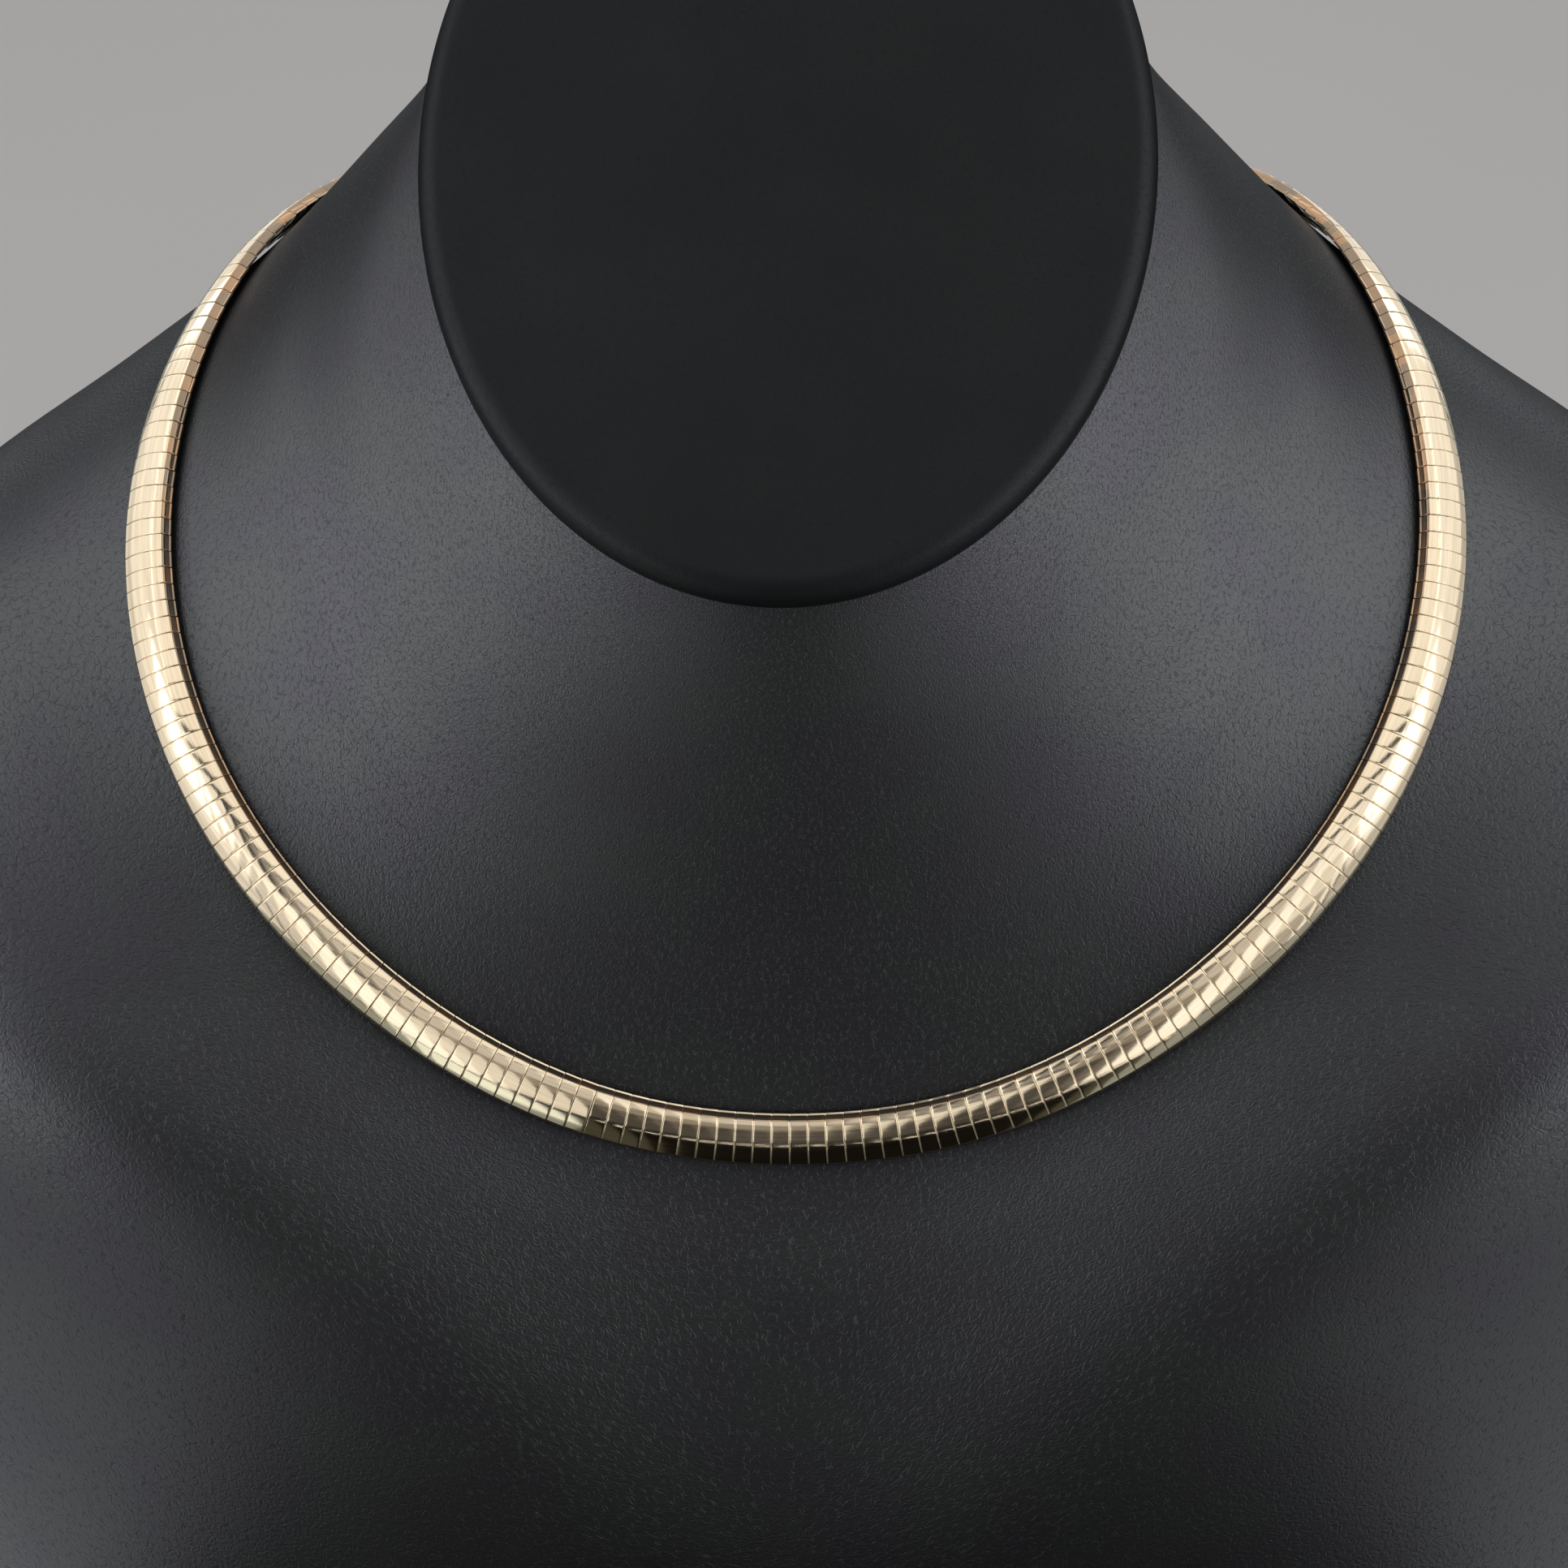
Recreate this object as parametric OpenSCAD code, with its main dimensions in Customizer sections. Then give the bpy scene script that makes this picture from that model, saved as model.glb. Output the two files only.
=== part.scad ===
// Omega necklace, 457 mm (18 in) round, lying on a leatherette neck bust.
// Millimetres, +Z up, the bust faces -Y, origin at the middle of its flat base.

/* [Necklace] */

// Width of the gold band
band_w = 6; // [5.6:0.1:6.4]
// Height of a plate from its folded back to the top of its crown
band_h = 1.8; // [1.7:0.05:2]
// Straight side wall of a plate, below its steep flank
side_wall = 0.4; // [0.35:0.05:0.5]
// Width of the gently domed crown between the two steep flanks of a plate
crown_w = 5.1; // [4.8:0.05:5.2]
// How far the crown falls from its middle to the flanks
crown_drop = 0.62; // [0.55:0.01:0.7]
// Thickness of the sheet that the plates are pressed from
sheet = 0.35; // [0.3:0.01:0.36]
// Target distance from one plate to the next, measured along the core strip
plate_pitch = 2; // [1.95:0.05:3]
// Clear seam between two plates
seam = 0.12; // [0.1:0.01:0.16]
// Thickness of the core strip that the plates are threaded on
core_t = 0.4; // [0.3:0.05:0.45]
// Width of the core strip
core_w = 3.4; // [3:0.1:3.6]

/* [Clasp] */

// Length of the box clasp at the nape
clasp_l = 10; // [8:0.5:12]
// How much wider the clasp is than the band
clasp_extra_w = 0.4; // [0:0.1:0.8]
// How much higher the clasp is than the band
clasp_extra_h = 0.4; // [0.2:0.1:0.8]
// How far each end of the core strip goes into the clasp
tongue_l = 1.8; // [1.2:0.1:2.4]

/* [Bust] */

// Width of the bust across its shoulders
bust_w = 236; // [228:1:244]
// Depth of the bust from the chest to the back
bust_d = 144; // [140:1:150]
// Height of the neck where the middle of its slanted top is
bust_h = 190; // [180:1:200]
// How far the axis of the neck stands in front of the middle of the base
neck_forward = 14; // [12:0.5:16]
// Radius of the rounded bottom edge
base_edge = 3; // [2:0.5:4]

/* [Neck cap] */

// Width of the padded oval on top of the neck
cap_w = 79.5; // [78:0.5:84]
// Length of the oval, measured down its slant
cap_l = 106; // [103:0.5:110]
// Slant of the oval, front edge lower
cap_slant = 38; // [35:0.5:40]
// Radius of the soft rim, half the thickness of the pad at its edge
rim_r = 2.5; // [2:0.1:3]
// How far the middle of the pad swells above its rim
cap_swell = 1.6; // [0.5:0.1:3]
// How far the rim overhangs the neck
cap_overhang = 1.6; // [1:0.1:2]

/* [Fit] */

// Clear gap where one piece rests on another
seat_gap = 0.3; // [0.25:0.01:0.4]
// Clear gap round the core strip inside the plates and the clasp
core_clear = 0.14; // [0.14:0.01:0.17]
// Clear gap between the clasp and the plate at each end of it
clasp_gap = 0.45; // [0.4:0.05:0.6]
// Angle by which the inner edge of the band stands off the bust
inner_lift = 5; // [2:0.5:7]

/* [Colours] */

// Plates and clasp
gold = "#d9c08a";
// Core strip
pale_gold = "#b79c66";
// Neck, shoulders and chest
leatherette = "#26262b";
// Pad on top of the neck
pad_leatherette = "#1f1f23";

/* [Hidden] */

// Facets of the bust and the pad round the neck
AROUND = 72;
// Facets of the bust between two rows of the table
PER_ROW = 4;
// Steps along the band's route, for its length only
ROUTE_STEPS = 720;

// Columns of the table
HALF = 0;
FRONT = 1;
BACK = 2;
SQUARE = 3;
Z_FRONT = 4;
Z_SIDE = 5;
Z_BACK = 6;
WAVE = 7;

// Outlines round the bust, from the base up to the neck. Half width is a share of half the bust's
// width. Front and back are shares of its reach before and behind the neck's axis. The heights and
// the wave, which lifts the outline behind the shoulders and lowers it before them, are shares of
// the bust's height. Squareness is 2 for an ellipse.
// half,  front, back,  square, z front, z side, z back, wave
SECTIONS = [
    [0.898, 0.828, 0.860, 2.25, 0.000, 0.000, 0.000, 0.000],
    [0.966, 0.955, 0.950, 2.20, 0.134, 0.262, 0.209, 0.000],
    [1.000, 1.000, 0.992, 2.15, 0.251, 0.503, 0.422, 0.000],
    [0.966, 0.957, 0.994, 2.10, 0.337, 0.695, 0.604, 0.011],
    [0.809, 0.853, 0.942, 2.00, 0.428, 0.746, 0.727, 0.024],
    [0.603, 0.710, 0.820, 1.96, 0.519, 0.806, 0.853, 0.035],
    [0.475, 0.640, 0.703, 1.95, 0.626, 0.880, 0.957, 0.031],
    [0.386, 0.608, 0.599, 2.00, 0.738, 0.949, 1.053, 0.019],
];
// The row that the necklace lies along
COLLAR = 5;
// Share of the way from the collar row to the row below it that the band covers
BAND_REACH = 0.15;
// The last outline is the slanted top of the neck, under the pad
TOP = len(SECTIONS);
// How far the middle of the pad's underside is behind the neck's axis, as a share of the bust's depth
CAP_BACK = 0.044;
// How far it is above the bust's height, as a share of that height
CAP_UP = 0.022;

reach_front = bust_d / 2 - neck_forward;
reach_back = bust_d / 2 + neck_forward;

function unit(v) = v / norm(v);

// Middle of the pad's underside, with the directions up its slant and out of it
cap_along = [0, cos(cap_slant), sin(cap_slant)];
cap_out = [0, -sin(cap_slant), cos(cap_slant)];
cap_seat = [0, CAP_BACK * bust_d - neck_forward, (1 + CAP_UP) * bust_h];

// An outline with its own front and back depth, squared off by its exponent
function plan(half, front, back, square, a) =
    let (depth = front * (1 + cos(a)) / 2 + back * (1 - cos(a)) / 2)
    let (r = pow(pow(abs(sin(a)) / half, square) + pow(abs(cos(a)) / depth, square), -1 / square))
    [r * sin(a), -r * cos(a) - neck_forward];

// Height round an outline from its front, side and back heights
function wave_height(f, s, b, w, a) =
    (f + b + 2 * s) / 4 - (b - f) / 2 * cos(a) + (f + b - 2 * s) / 4 * cos(2 * a)
    + w * (cos(3 * a) - cos(a));

// A point of a table row at azimuth a, with a = 0 at the front
function row_point(i, a) =
    i == TOP ? top_point(a) :
    let (s = SECTIONS[i])
    let (p = plan(s[HALF] * bust_w / 2, s[FRONT] * reach_front, s[BACK] * reach_back, s[SQUARE], a))
    let (z = wave_height(s[Z_FRONT], s[Z_SIDE], s[Z_BACK], s[WAVE], a))
    [p[0], p[1], base_edge + z * (bust_h - base_edge)];

// The slanted top of the neck, a gap below the pad and narrower by its overhang
function top_point(a) =
    let (half = cap_w / 2 - cap_overhang)
    let (along = cap_l / 2 - cap_overhang)
    cap_seat - seat_gap * cap_out - along * cos(a) * cap_along + [half * sin(a), 0, 0];

// A smooth curve through four rows
function through(p0, p1, p2, p3, u) =
    (2 * p1 + (p2 - p0) * u + (2 * p0 - 5 * p1 + 4 * p2 - p3) * u * u
    + (3 * p1 - p0 - 3 * p2 + p3) * u * u * u) / 2;

function bust_point(i, u, a) =
    let (p1 = row_point(i, a))
    let (p2 = row_point(i + 1, a))
    let (p0 = i > 0 ? row_point(i - 1, a) : 2 * p1 - p2)
    let (p3 = i < TOP - 1 ? row_point(i + 2, a) : 2 * p2 - p1)
    through(p0, p1, p2, p3, u);

// A closed skin over rings of points, each ring with the same count, and a middle point at each end
module skin(rings, bottom, top) {
    n = len(rings[0]);
    m = len(rings);
    points = concat([bottom], [for (r = rings) for (p = r) p], [top]);
    function at(j, k) = 1 + j * n + k % n;
    faces = concat(
        [for (k = [0:n - 1]) [0, at(0, k), at(0, k + 1)]],
        [for (j = [0:m - 2]) for (k = [0:n - 1]) [at(j, k), at(j + 1, k), at(j + 1, k + 1)]],
        [for (j = [0:m - 2]) for (k = [0:n - 1]) [at(j, k), at(j + 1, k + 1), at(j, k + 1)]],
        [for (k = [0:n - 1]) [at(m - 1, k), m * n + 1, at(m - 1, k + 1)]]
    );
    polyhedron(points, faces, convexity = 6);
}

// Rounded edge under the base outline
function base_ring(fall) =
    [for (k = [0:AROUND - 1])
        let (p = row_point(0, k * 360 / AROUND))
        let (inset = 1 - base_edge * (1 - cos(fall)) / (bust_w / 2))
        [p[0] * inset, p[1] * inset, base_edge * (1 - sin(fall))]];

// Neck, shoulders and chest
module bust_form() {
    edge = [for (fall = [90:-30:30]) base_ring(fall)];
    body = [for (i = [0:TOP - 1]) for (j = [0:PER_ROW - 1])
        [for (k = [0:AROUND - 1]) bust_point(i, j / PER_ROW, k * 360 / AROUND)]];
    top = [[for (k = [0:AROUND - 1]) top_point(k * 360 / AROUND)]];
    color(leatherette)
    skin(concat(edge, body, top), [0, 0, 0], cap_seat - seat_gap * cap_out);
}

// One outline of the pad, drawn in from its rim and raised from its underside
function cap_ring(inset, up) =
    [for (k = [0:AROUND - 1])
        let (a = k * 360 / AROUND)
        [(cap_w / 2 - inset) * sin(a), -(cap_l / 2 - inset) * cos(a), up]];

// Padded oval that closes the neck
module neck_cap() {
    rim = [for (a = [-90:30:90]) cap_ring(rim_r * (1 - cos(a)), rim_r * (1 + sin(a)))];
    swell = [for (s = [0.15:0.17:0.83])
        cap_ring(rim_r + s * (cap_w / 2 - rim_r), 2 * rim_r + cap_swell * sin(90 * s))];
    color(pad_leatherette)
    translate(cap_seat)
    rotate([cap_slant, 0, 0])
    skin(concat(rim, swell), [0, 0, 0], [0, 0, 2 * rim_r + cap_swell]);
}

// Where the band lies: along the collar row, square to it and down the slope of the bust
function collar_along(a) = unit(row_point(COLLAR, a + 0.1) - row_point(COLLAR, a - 0.1));
function collar_down(a) =
    let (t = collar_along(a))
    let (d = bust_point(COLLAR - 1, 1 - BAND_REACH, a) - row_point(COLLAR, a))
    unit(d - (d * t) * t);

// The band's own directions, tipped so that its inner edge stands off the bust
function band_in(a) =
    let (d = collar_down(a))
    let (n = cross(d, collar_along(a)))
    n * sin(inner_lift) - d * cos(inner_lift);
function band_up(a) =
    let (d = collar_down(a))
    let (n = cross(d, collar_along(a)))
    n * cos(inner_lift) + d * sin(inner_lift);

// Middle of the band's back at azimuth a
function band_base(a) =
    let (n = cross(collar_down(a), collar_along(a)))
    row_point(COLLAR, a) + n * (seat_gap + band_w / 2 * sin(inner_lift));

// Height of the core strip's middle above the back of the band
core_z = sheet + core_clear + core_t / 2;
function core_point(a) = band_base(a) + band_up(a) * core_z;

// Length along the route from the nape, with the azimuth that it belongs to
route_points = [for (i = [0:ROUTE_STEPS]) core_point(180 + i * 360 / ROUTE_STEPS)];
route_s = [
    for (i = 0, s = 0; i <= ROUTE_STEPS;
        s = s + (i < ROUTE_STEPS ? norm(route_points[i + 1] - route_points[i]) : 0), i = i + 1)
    s
];
azimuth_at = [for (i = [0:ROUTE_STEPS]) [route_s[i], 180 + i * 360 / ROUTE_STEPS]];
necklace_length = route_s[ROUTE_STEPS];
echo(necklace_length = necklace_length);

// Plates fill the route from one end of the clasp to the other
plated = necklace_length - clasp_l - 2 * clasp_gap;
plate_count = 2 * round(plated / plate_pitch / 2);
pitch = plated / plate_count;
seam_azimuth = [for (j = [0:plate_count]) lookup(clasp_l / 2 + clasp_gap + j * pitch, azimuth_at)];
echo(plate_count = plate_count, pitch = pitch);

// The crown is part of one circle across the plate
crown_r = (pow(crown_w / 2, 2) + pow(crown_drop, 2)) / (2 * crown_drop);
crown_z = band_h - crown_r;
// A flank draws in from the side wall to the crown by this much for each millimetre that it rises
flank_run = (band_w - crown_w) / 2 / (band_h - crown_drop - side_wall);
// Half the width between the outer faces of the flanks at height z
function flank_half(z) = band_w / 2 - flank_run * (z - side_wall);
// The sheet's thickness, measured level through a flank
sheet_level = sheet * sqrt(1 + pow(flank_run, 2));
// Open slot between the two folds at the back
slot_w = 0.65 * core_w;

// Outline of a plate across the band: crowned shell with folded edges and an open back
module plate_profile() {
    top = band_h + side_wall;
    difference() {
        intersection() {
            translate([0, crown_z])
            circle(crown_r, $fn = 120);
            polygon([
                [-band_w / 2, 0],
                [band_w / 2, 0],
                [band_w / 2, side_wall],
                [flank_half(top), top],
                [-flank_half(top), top],
                [-band_w / 2, side_wall]
            ]);
        }
        intersection() {
            translate([0, crown_z])
            circle(crown_r - sheet, $fn = 120);
            polygon([
                [-flank_half(sheet) + sheet_level, sheet],
                [flank_half(sheet) - sheet_level, sheet],
                [flank_half(top) - sheet_level, top],
                [-flank_half(top) + sheet_level, top]
            ]);
        }
        translate([-slot_w / 2, -1])
        square([slot_w, 1 + sheet + core_clear]);
    }
}

// A straight plate between two seams, with its ends cut along them
module plate(a0, a1) {
    p0 = band_base(a0);
    p1 = band_base(a1);
    reach = norm(p1 - p0);
    x = (p1 - p0) / reach;
    across = band_in(a0) + band_in(a1);
    y = unit(across - (across * x) * x);
    z = cross(x, y);
    o = (p0 + p1) / 2;
    lean0 = (band_in(a0) * x) / (band_in(a0) * y);
    lean1 = (band_in(a1) * x) / (band_in(a1) * y);
    far = band_w / 2 + 1;
    cut0 = -reach / 2 + seam / 2;
    cut1 = reach / 2 - seam / 2;
    multmatrix([
        [x[0], y[0], z[0], o[0]],
        [x[1], y[1], z[1], o[1]],
        [x[2], y[2], z[2], o[2]],
        [0, 0, 0, 1]
    ])
    intersection() {
        translate([-reach, 0, 0])
        rotate([90, 0, 90])
        linear_extrude(2 * reach)
        plate_profile();
        translate([0, 0, -1])
        linear_extrude(band_h + 2)
        polygon([
            [cut0 - far * lean0, -far],
            [cut1 - far * lean1, -far],
            [cut1 + far * lean1, far],
            [cut0 + far * lean0, far]
        ]);
    }
}

module plates() {
    color(gold)
    for (j = [0:plate_count - 1])
        plate(seam_azimuth[j], seam_azimuth[j + 1]);
}

// Corners of the core strip at one place along the route
function core_ring(a) =
    let (c = core_point(a))
    let (w = band_in(a) * core_w / 2)
    let (h = band_up(a) * core_t / 2)
    [c - w - h, c + w - h, c + w + h, c - w + h];

module core_strip() {
    first = lookup(clasp_l / 2 - tongue_l, azimuth_at);
    last = lookup(necklace_length - clasp_l / 2 + tongue_l, azimuth_at);
    stations = concat([first], seam_azimuth, [last]);
    rings = [for (a = stations) core_ring(a)];
    color(pale_gold)
    skin(rings, core_point(first), core_point(last));
}

// Box clasp at the nape, one plain piece with a pocket at each end for the core strip
module clasp() {
    w = band_w + clasp_extra_w;
    h = band_h + clasp_extra_h;
    rise = h - 2 * side_wall;
    r = (pow(w / 2, 2) + pow(rise, 2)) / (2 * rise);
    // The straight clasp is let down by a third of what the route bends away under it
    bend = norm(band_base(180) - (band_base(seam_azimuth[0]) + band_base(seam_azimuth[plate_count])) / 2);
    o = band_base(180) - band_up(180) * bend / 3;
    x = collar_along(180);
    y = band_in(180);
    z = band_up(180);
    pocket_w = core_w + 8 * core_clear;
    pocket_h = core_t + 4 * core_clear;
    pocket_l = tongue_l + 0.4;
    color(gold)
    multmatrix([
        [x[0], y[0], z[0], o[0]],
        [x[1], y[1], z[1], o[1]],
        [x[2], y[2], z[2], o[2]],
        [0, 0, 0, 1]
    ])
    difference() {
        translate([-clasp_l / 2, 0, 0])
        rotate([90, 0, 90])
        linear_extrude(clasp_l)
        intersection() {
            translate([0, h - r])
            circle(r, $fn = 120);
            translate([-w / 2, 0])
            square([w, h + 1]);
        }
        for (side = [-1, 1])
            translate([side * clasp_l / 2, 0, core_z])
            cube([2 * pocket_l, pocket_w, pocket_h], center = true);
    }
}

plates();
core_strip();
clasp();
bust_form();
neck_cap();
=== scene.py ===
import math

import bpy
import numpy as np
from mathutils import Matrix, Vector


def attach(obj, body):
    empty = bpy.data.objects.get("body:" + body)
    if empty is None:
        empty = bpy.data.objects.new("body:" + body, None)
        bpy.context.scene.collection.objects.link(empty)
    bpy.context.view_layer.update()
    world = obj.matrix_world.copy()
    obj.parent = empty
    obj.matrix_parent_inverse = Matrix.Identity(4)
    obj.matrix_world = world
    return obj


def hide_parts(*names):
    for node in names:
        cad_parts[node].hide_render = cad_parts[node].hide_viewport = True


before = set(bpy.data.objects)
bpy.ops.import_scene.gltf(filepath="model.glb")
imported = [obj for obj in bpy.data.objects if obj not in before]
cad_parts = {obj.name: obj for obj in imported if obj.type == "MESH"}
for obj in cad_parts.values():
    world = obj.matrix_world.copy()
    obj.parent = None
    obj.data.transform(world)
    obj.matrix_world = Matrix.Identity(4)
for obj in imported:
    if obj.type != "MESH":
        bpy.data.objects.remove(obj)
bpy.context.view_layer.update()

MM = 0.001
SEED = 7
rng = np.random.default_rng(SEED)

# Sizes in millimetres, as the CAD part has them
BAND_W, BAND_H, SIDE_WALL, SHEET = 6.0, 1.8, 0.4, 0.35
PLATE_PITCH, CORE_W, CORE_T, CORE_CLEAR = 2.0, 3.4, 0.4, 0.14
CROWN_HALF, CROWN_DROP, SLOT_PART = 2.55, 0.62, 0.65
CLASP_L, CLASP_GAP = 10.0, 0.45
BUST_W, BUST_D, BUST_H, NECK_FORWARD, BASE_EDGE = 236.0, 144.0, 190.0, 14.0, 3.0
CAP_W, CAP_L, CAP_SLANT, RIM_R, CAP_SWELL, CAP_OVERHANG = 79.5, 106.0, 38.0, 2.5, 1.6, 1.6
CAP_BACK, CAP_UP = 0.044, 0.022
# The band lies on table row COLLAR, tilted in degrees, on the slope down to BAND_REACH of a row below it
COLLAR, BAND_REACH, SEAT_GAP, INNER_LIFT = 5, 0.15, 0.3, 5.0
ROUTE_STEPS, SIDE_STEP = 720, 0.1

# half width, front, back, squareness, front height, side height, back height, wave
SECTIONS = [
    [0.898, 0.828, 0.860, 2.25, 0.000, 0.000, 0.000, 0.000],
    [0.966, 0.955, 0.950, 2.20, 0.134, 0.262, 0.209, 0.000],
    [1.000, 1.000, 0.992, 2.15, 0.251, 0.503, 0.422, 0.000],
    [0.966, 0.957, 0.994, 2.10, 0.337, 0.695, 0.604, 0.011],
    [0.809, 0.853, 0.942, 2.00, 0.428, 0.746, 0.727, 0.024],
    [0.603, 0.710, 0.820, 1.96, 0.519, 0.806, 0.853, 0.035],
    [0.475, 0.640, 0.703, 1.95, 0.626, 0.880, 0.957, 0.031],
    [0.386, 0.608, 0.599, 2.00, 0.738, 0.949, 1.053, 0.019],
]
TOP = len(SECTIONS)
REACH_FRONT = BUST_D / 2 - NECK_FORWARD
REACH_BACK = BUST_D / 2 + NECK_FORWARD
SLANT = math.radians(CAP_SLANT)
CAP_ACROSS = np.array([1.0, 0.0, 0.0])
CAP_ALONG = np.array([0.0, math.cos(SLANT), math.sin(SLANT)])
CAP_OUT = np.array([0.0, -math.sin(SLANT), math.cos(SLANT)])
CAP_SEAT = np.array([0.0, CAP_BACK * BUST_D - NECK_FORWARD, (1 + CAP_UP) * BUST_H])


def unit(v):
    return v / np.linalg.norm(v, axis=-1, keepdims=True)


def dot(a, b):
    return np.sum(a * b, axis=-1, keepdims=True)


# The bust's surface
def row_point(i, a):
    """Points of table row i at azimuths a, in degrees from the front."""
    t = np.radians(np.asarray(a, float))
    s, c = np.sin(t), np.cos(t)
    if i == TOP:
        half, along = CAP_W / 2 - CAP_OVERHANG, CAP_L / 2 - CAP_OVERHANG
        seat = CAP_SEAT - SEAT_GAP * CAP_OUT
        return seat - along * c[..., None] * CAP_ALONG + half * s[..., None] * CAP_ACROSS
    half, front, back, square, z_front, z_side, z_back, wave = SECTIONS[i]
    depth = front * REACH_FRONT * (1 + c) / 2 + back * REACH_BACK * (1 - c) / 2
    r = ((np.abs(s) / (half * BUST_W / 2)) ** square + (np.abs(c) / depth) ** square) ** (-1 / square)
    z = (
        (z_front + z_back + 2 * z_side) / 4
        - (z_back - z_front) / 2 * c
        + (z_front + z_back - 2 * z_side) / 4 * np.cos(2 * t)
        + wave * (np.cos(3 * t) - c)
    )
    return np.stack([r * s, -r * c - NECK_FORWARD, BASE_EDGE + z * (BUST_H - BASE_EDGE)], axis=-1)


def through(p0, p1, p2, p3, u):
    """Smooth curve from p1 at u = 0 to p2 at u = 1, with p0 and p3 as its neighbours."""
    return (
        2 * p1 + (p2 - p0) * u + (2 * p0 - 5 * p1 + 4 * p2 - p3) * u**2 + (3 * p1 - p0 - 3 * p2 + p3) * u**3
    ) / 2


def bust_point(i, u, a):
    """Points at azimuths a, a part u of the way from table row i to the next."""
    p1, p2 = row_point(i, a), row_point(i + 1, a)
    p0 = row_point(i - 1, a) if i > 0 else 2 * p1 - p2
    p3 = row_point(i + 2, a) if i < TOP - 1 else 2 * p2 - p1
    return through(p0, p1, p2, p3, u)


# The band's route
def band_frame(a):
    """Inwards and up directions of the band at azimuths a, and the middle of its back."""
    a = np.asarray(a, float)
    along = unit(row_point(COLLAR, a + SIDE_STEP) - row_point(COLLAR, a - SIDE_STEP))
    down = bust_point(COLLAR - 1, 1 - BAND_REACH, a) - row_point(COLLAR, a)
    down = unit(down - dot(down, along) * along)
    normal = np.cross(down, along)
    s, c = math.sin(math.radians(INNER_LIFT)), math.cos(math.radians(INNER_LIFT))
    inwards = normal * s - down * c
    up = normal * c + down * s
    base = row_point(COLLAR, a) + normal * (SEAT_GAP + BAND_W / 2 * s)
    return inwards, up, base


# Lengths along the band start at the middle of the nape
CORE_Z = SHEET + CORE_CLEAR + CORE_T / 2
ROUTE_A = 180 + np.linspace(0, 360, ROUTE_STEPS + 1)
_, route_up, route_base = band_frame(ROUTE_A)
route = route_base + route_up * CORE_Z
route_s = np.concatenate([[0], np.cumsum(np.linalg.norm(np.diff(route, axis=0), axis=1))])
plated = route_s[-1] - CLASP_L - 2 * CLASP_GAP
PLATES = 2 * round(plated / PLATE_PITCH / 2)
seam_s = CLASP_L / 2 + CLASP_GAP + np.arange(PLATES + 1) * plated / PLATES
seam_a = np.interp(seam_s, route_s, ROUTE_A)

SLOT_W = SLOT_PART * CORE_W
CROWN_R = (CROWN_HALF**2 + CROWN_DROP**2) / (2 * CROWN_DROP)
FLANK_RUN = (BAND_W / 2 - CROWN_HALF) / (BAND_H - CROWN_DROP - SIDE_WALL)
SHEET_LEVEL = SHEET * math.sqrt(1 + FLANK_RUN**2)


def cavity_half(z):
    """Half width of the space inside a plate at height z."""
    return BAND_W / 2 - FLANK_RUN * (z - SIDE_WALL) - SHEET_LEVEL


# Node helpers
def new_material(name):
    mat = bpy.data.materials.new(name)
    mat.use_nodes = True
    tree = mat.node_tree
    tree.nodes.clear()
    out = tree.nodes.new("ShaderNodeOutputMaterial")
    bsdf = tree.nodes.new("ShaderNodeBsdfPrincipled")
    tree.links.new(bsdf.outputs["BSDF"], out.inputs["Surface"])
    return mat, tree, bsdf


def add(tree, kind, inputs=None, **props):
    node = tree.nodes.new(kind)
    for key, value in props.items():
        setattr(node, key, value)
    for key, value in (inputs or {}).items():
        if isinstance(value, bpy.types.NodeSocket):
            tree.links.new(value, node.inputs[key])
        else:
            node.inputs[key].default_value = value
    return node


def math_node(tree, op, a, b=0.0):
    return add(tree, "ShaderNodeMath", {0: a, 1: b}, operation=op).outputs[0]


def times(tree, a, b):
    return math_node(tree, "MULTIPLY", a, b)


def vector_node(tree, op, a, b=(0.0, 0.0, 0.0)):
    return add(tree, "ShaderNodeVectorMath", {0: a, 1: b}, operation=op).outputs["Vector"]


def noise(tree, vector, scale, detail, rough=0.5, dimensions="3D", out="Fac"):
    inputs = {"Vector": vector, "Scale": scale, "Detail": detail, "Roughness": rough}
    return add(tree, "ShaderNodeTexNoise", inputs, noise_dimensions=dimensions).outputs[out]


def bump_normal(tree, bsdf, height, distance, strength=1.0):
    bump = add(tree, "ShaderNodeBump", {"Strength": strength, "Distance": distance, "Height": height})
    tree.links.new(bump.outputs["Normal"], bsdf.inputs["Normal"])


def map_range(tree, value, lo, hi, to_lo=0.0, to_hi=1.0, smooth=False):
    kind = "SMOOTHSTEP" if smooth else "LINEAR"
    return add(
        tree,
        "ShaderNodeMapRange",
        {"Value": value, "From Min": lo, "From Max": hi, "To Min": to_lo, "To Max": to_hi},
        interpolation_type=kind,
    ).outputs["Result"]


def ramp(tree, value, stops):
    """Colour ramp with two stops, each a place and a colour."""
    node = add(tree, "ShaderNodeValToRGB", {"Fac": value})
    for element, (place, colour) in zip(node.color_ramp.elements, stops):
        element.position = place
        element.color = (*colour, 1)
    return node.outputs["Color"]


def scaled(tree, vector, scale, shift=(0, 0, 0)):
    return add(
        tree, "ShaderNodeMapping", {"Vector": vector, "Scale": scale, "Location": shift}
    ).outputs["Vector"]


# Gold, on a surface map in millimetres: stretch of the fine scratches, the long ones and the worn patches
FINE_SCRATCH, LONG_SCRATCH, WORN_PATCH = (0.12, 3.6, 1), (0.05, 1.5, 1), (0.05, 0.2, 1)
LONG_SHIFT = (3.1, 1.7, 0)
FINE_PART, LONG_PART, COLOUR_PART, COLOUR_STOPS = 0.7, 0.5, 0.85, (0.30, 0.62)
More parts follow.
